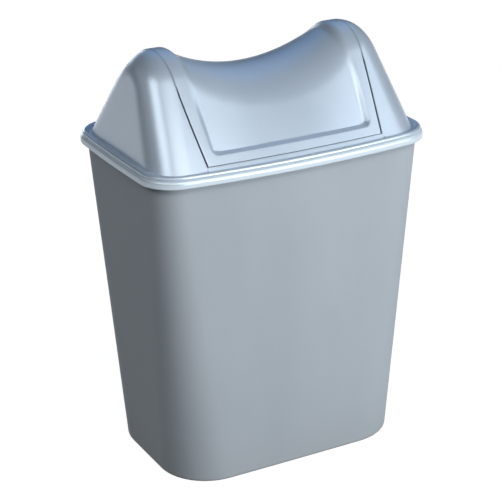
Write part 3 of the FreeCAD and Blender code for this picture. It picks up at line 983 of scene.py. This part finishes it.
flap_heights = [396.8, 398, 400, 402, 403.6, 404.2, 404.7, 405.2, 405.8, 406.4, 407, 407.7, 408.4,
                409.2, 410, 411, 412.2, 413.6, 415.2, 417, 419.5, 422, 425, 428, STRAIGHT_TOP]
flap_rows = [(height, 0.0) for height in flap_heights]
flap_rows += [(STRAIGHT_TOP, share) for share in np.linspace(0, 1, RIDGE_ROWS)[1:]]
flap_loops = [flap_loop(row, WALL) for row in reversed(flap_rows)]
flap_loops += [flap_loop((FLAP_FOOT, 0.0), inset) for inset in (WALL, FOOT_ROUNDING)]
flap_loops += [flap_loop((FLAP_FOOT + FOOT_ROUNDING, 0.0), 0)]
flap_loops += [flap_loop(row, 0) for row in flap_rows]
flap_meshes = [from_loops("flap_skin", flap_loops, satin_lid)]
for side in (-1, 1):
    flap_meshes.append(boss("flap_boss", side, **FLAP_BOSS))
flap_piece = joined("flap_shell", flap_meshes)

# %% [markdown]
# Painted shade darkens the gaps between the flap and the cheeks, so these read as dark lines that
# fade towards the ridge. A gap is a flat cone about the pivot axis, so the finish can find it by
# itself: it works out how far each point lies from that cone and darkens the last 1.6 mm.

# %% Painted shade in the gaps
GAP_MIDDLE = (CHEEK_SPAN + FLAP_SPAN) / 2000
GAP_SHADE_COLOUR = "#46525e"
GAP_SHADE_SPAN = (0.0006, 0.0016)
GAP_SHADE_LEVEL = 0.65
GAP_SHADE_FOOT = (0.395, 0.397)
GAP_SHADE_FADE = (0.47, 0.5)
GAP_SHADE_AT_RIDGE = 0.35
lid_tree = satin_lid.node_tree
lid_colour = lid_tree.nodes["Principled BSDF"].inputs["Base Color"]
unshaded = lid_colour.links[0].from_socket
lid_place = add(lid_tree, SPLIT, {0: add(lid_tree, "ShaderNodeTexCoord").outputs["Object"]}).outputs
above = worked(lid_tree, "SUBTRACT", lid_place[2], PIVOT / 1000)
spoke = out(lid_tree, "ShaderNodeCombineXYZ", {0: lid_place[1], 1: above})
from_axis = add(lid_tree, VECTOR, {0: spoke}, operation="LENGTH").outputs["Value"]
past_boss = worked(lid_tree, "SUBTRACT", from_axis, BOSS_RADIUS / 1000)
aside = worked(lid_tree, "ABSOLUTE", lid_place[0])
aside = worked(lid_tree, "MULTIPLY_ADD", past_boss, END_SLOPE, aside)
off_gap = worked(lid_tree, "ABSOLUTE", worked(lid_tree, "SUBTRACT", aside, GAP_MIDDLE))
# Painted shade: the lid's colour darkens close to each gap, less towards the ridge
gap_shade = ramped(lid_tree, off_gap, *GAP_SHADE_SPAN, GAP_SHADE_LEVEL, 0.0)
gap_shade = worked(lid_tree, "MULTIPLY", gap_shade, ramped(lid_tree, lid_place[2], *GAP_SHADE_FOOT))
under_ridge = ramped(lid_tree, lid_place[2], *GAP_SHADE_FADE, 1.0, GAP_SHADE_AT_RIDGE)
gap_shade = worked(lid_tree, "MULTIPLY", gap_shade, under_ridge)
lid_tree.links.new(blended(lid_tree, gap_shade, unshaded, linear(GAP_SHADE_COLOUR)), lid_colour)
print("grime within", GAP_SHADE_SPAN[1] * 1000, "mm of the gaps")

# %% [markdown]
# The pins are hidden in the cheeks. Their solids from the frame already have the right shape, so they
# stay and only take a finish: black-grey acetal, a hard slippery plastic that bearings are moulded
# from, with fine rings where it rubs in the hood's boss.

# %% Finish of the pins
RING_SCALE = 400.0
RING_WAVER = 1.5
PIN_TONES = ("#4a4e52", "#5a5f63")
PIN_ROUGHNESS = (0.3, 0.45)
ACETAL_IOR = 1.48
acetal, pin_tree, pin_surface = new_material("moulded_acetal")
pin_place = add(pin_tree, "ShaderNodeTexCoord").outputs["Object"]
rings = add(pin_tree, "ShaderNodeTexWave", {
    "Vector": pin_place, "Scale": RING_SCALE, "Distortion": RING_WAVER},
            bands_direction="X").outputs["Fac"]
pin_tint = blended(pin_tree, rings, *(linear(tone) for tone in PIN_TONES))
pin_rough = ramped(pin_tree, rings, 0.0, 1.0, *PIN_ROUGHNESS)
pin_tree.links.new(pin_tint, pin_surface["Base Color"])
pin_tree.links.new(pin_rough, pin_surface["Roughness"])
pin_surface["IOR"].default_value = ACETAL_IOR
for node in ("pivot_pin_left", "pivot_pin_right"):
    pin_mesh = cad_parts[node].data
    pin_mesh.materials.clear()
    pin_mesh.materials.append(acetal)
print("pins finished in", acetal.name)

# %% [markdown]
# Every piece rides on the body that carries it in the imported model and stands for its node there, so
# the hood lifts off and the flap swings with the same joints.

# %% Rides
for piece, body, node, finish in (
        (body_piece, "bucket", "bin_body", "body_plastic"),
        (hood_piece, "lid", "lid_hood", "lid_plastic"),
        (flap_piece, "flap", "swing_flap", "lid_plastic")):
    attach(piece, body)
    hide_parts(node)

# %% [markdown]
# The photograph is a catalogue cut-out on white. A broad floor fills the whole frame. For the camera
# and in reflections it is near white by a little glow of its own, while other light meets a plain grey
# floor, so the bin keeps a soft shadow and isn't lit from below.

# %% Floor
FLOOR_HALF = 25.0
FLOOR_Z = -0.0003
FLOOR_COLOUR = "#6e6b68"
GLOW = 0.96
floor_mesh = bpy.data.meshes.new("studio_floor")
FLOOR_SIGNS = ((-1, -1), (1, -1), (1, 1), (-1, 1))
floor_corners = [(x * FLOOR_HALF, y * FLOOR_HALF, FLOOR_Z) for x, y in FLOOR_SIGNS]
floor_mesh.from_pydata(floor_corners, [], [(0, 1, 2, 3)])
floor = placed("studio_floor", floor_mesh)
paper, paper_tree, _ = new_material("white_background_paper")
paper_tree.nodes.remove(paper_tree.nodes["Principled BSDF"])
path = add(paper_tree, "ShaderNodeLightPath").outputs
seen = worked(paper_tree, "ADD", path["Is Camera Ray"], path["Is Glossy Ray"])
glow_level = worked(paper_tree, "MULTIPLY", seen, GLOW)
matt_paper = out(paper_tree, "ShaderNodeBsdfDiffuse", {"Color": linear(FLOOR_COLOUR)})
glow = out(paper_tree, "ShaderNodeEmission", {"Strength": glow_level})
both = out(paper_tree, "ShaderNodeAddShader", {0: matt_paper, 1: glow})
paper_tree.links.new(both, paper_tree.nodes["Material Output"].inputs["Surface"])
floor_mesh.materials.append(paper)
print("floor", 2 * FLOOR_HALF, "m wide")

# %% [markdown]
# Seven soft boxes stand round the bin, all aimed at a point 350 mm up in it. The low one at the front
# right lights the bucket, the wide one higher up gives the lid's slope its sheen, the corner box draws
# the pale band down the lid's left corner, and the right box brightens the hood's right wall. A faint
# fill keeps the shaded left side readable. Behind, the saddle mirrors a blue box, and a low one lights
# the back. One big lamp would be simpler, but would flatten these bands.

# %% Lights
LIGHT_AIM = (0, 0, 0.35)
LIGHT_DISTANCE = 2.6


def studio_place(azimuth, elevation, distance):
    """A place round the bin: azimuth in degrees from the front towards the right, and elevation."""
    turn, rise = math.radians(azimuth), math.radians(elevation)
    level = distance * math.cos(rise)
    return level * math.sin(turn), -level * math.cos(turn), LIGHT_AIM[2] + distance * math.sin(rise)


def soft_box(name, place, width, height, watts, tint):
    """A rectangular lamp at a place, aimed at the bin and hidden from the camera."""
    lamp = bpy.data.lights.new(name, "AREA")
    lamp.shape = "RECTANGLE"
    lamp.size = width
    lamp.size_y = height
    lamp.energy = watts
    lamp.color = linear(tint)[:3]
    holder = placed(name, lamp)
    holder.location = place
    holder.rotation_euler = (Vector(LIGHT_AIM) - Vector(place)).to_track_quat("-Z", "Y").to_euler()
    holder.visible_camera = False


# Each box has a name, azimuth, elevation, width, height, watts and tint
SOFT_BOXES = [
    ("low_front_box", 24, 12, 1.6, 0.8, 54, "#ffffff"),
    ("front_box", -10, 43, 2.2, 0.8, 25, "#fffcf7"),
    ("corner_box", -70, 40, 1.2, 0.6, 12, "#ffffff"),
    ("left_fill", -116, 25, 1.8, 0.9, 1.6, "#f0f6ff"),
    ("right_box", 50, 36, 1.6, 0.6, 7, "#f8fbff"),
    ("blue_back_box", 152, 42, 2.4, 1.8, 8, "#58a6ec"),
    ("low_back_box", 176, 4, 1.0, 0.8, 12, "#f4f7ff"),
]
for name, azimuth, elevation, *lamp in SOFT_BOXES:
    soft_box(name, studio_place(azimuth, elevation, LIGHT_DISTANCE), *lamp)
print(len(SOFT_BOXES), "soft boxes")

# %% [markdown]
# The room lights what the boxes don't reach. It is a dim blue-grey, bluer overhead, and darker towards
# the left, so that side of the bin stays in shade, as in the photograph. An even grey room would be
# simpler, but the glossy lid would mirror it as a flat veil.

# %% Room
ROOM_LOW = "#6f849c"
ROOM_HIGH = "#7ba3d2"
ROOM_RISE = (0.0, 0.8)
ROOM_SIDES = (-0.6, 0.3)
ROOM_LEVELS = (0.03, 0.12)
world = bpy.data.worlds.new("studio_room")
bpy.context.scene.world = world
world.use_nodes = True
room = world.node_tree
toward = add(room, SPLIT, {0: add(room, "ShaderNodeTexCoord").outputs["Generated"]}).outputs
upness = ramped(room, toward[2], *ROOM_RISE)
room_tint = blended(room, upness, linear(ROOM_LOW), linear(ROOM_HIGH))
room_level = ramped(room, toward[0], *ROOM_SIDES, *ROOM_LEVELS)
room.links.new(room_tint, room.nodes["Background"].inputs["Color"])
room.links.new(room_level, room.nodes["Background"].inputs["Strength"])
print("room from", ROOM_LEVELS[0], "at the left to", ROOM_LEVELS[1], "at the right")

# %% [markdown]
# The camera was found by matching the bin's outline: it looks down 22 degrees from 28 degrees to the
# left of the front, 2 m away, with a long lens. A slight roll tilts the bin as the photo has it.

# %% Camera
AZIMUTH, ELEVATION, ROLL = (math.radians(angle) for angle in (-27.836, 22.43, -1.118))
AIM = Vector((-0.0047, 0, 0.2381))
DISTANCE = 2.04506
LENS_MM = 122.91
SENSOR_MM = 36.0
back = Vector((math.sin(AZIMUTH) * math.cos(ELEVATION), -math.cos(AZIMUTH) * math.cos(ELEVATION),
               math.sin(ELEVATION)))
right = Vector((math.cos(AZIMUTH), math.sin(AZIMUTH), 0))
up = back.cross(right)
rolled_right = right * math.cos(ROLL) + up * math.sin(ROLL)
rolled_up = up * math.cos(ROLL) - right * math.sin(ROLL)
lens = bpy.data.cameras.new("photo_camera")
lens.lens = LENS_MM
lens.sensor_width = SENSOR_MM
camera = placed("photo_camera", lens)
turn = Matrix((rolled_right, rolled_up, back)).transposed().to_4x4()
camera.matrix_world = Matrix.Translation(AIM + back * DISTANCE) @ turn
bpy.context.scene.camera = camera
bpy.context.scene.view_settings.view_transform = "Standard"
print("camera at", [round(part, 3) for part in camera.matrix_world.translation])
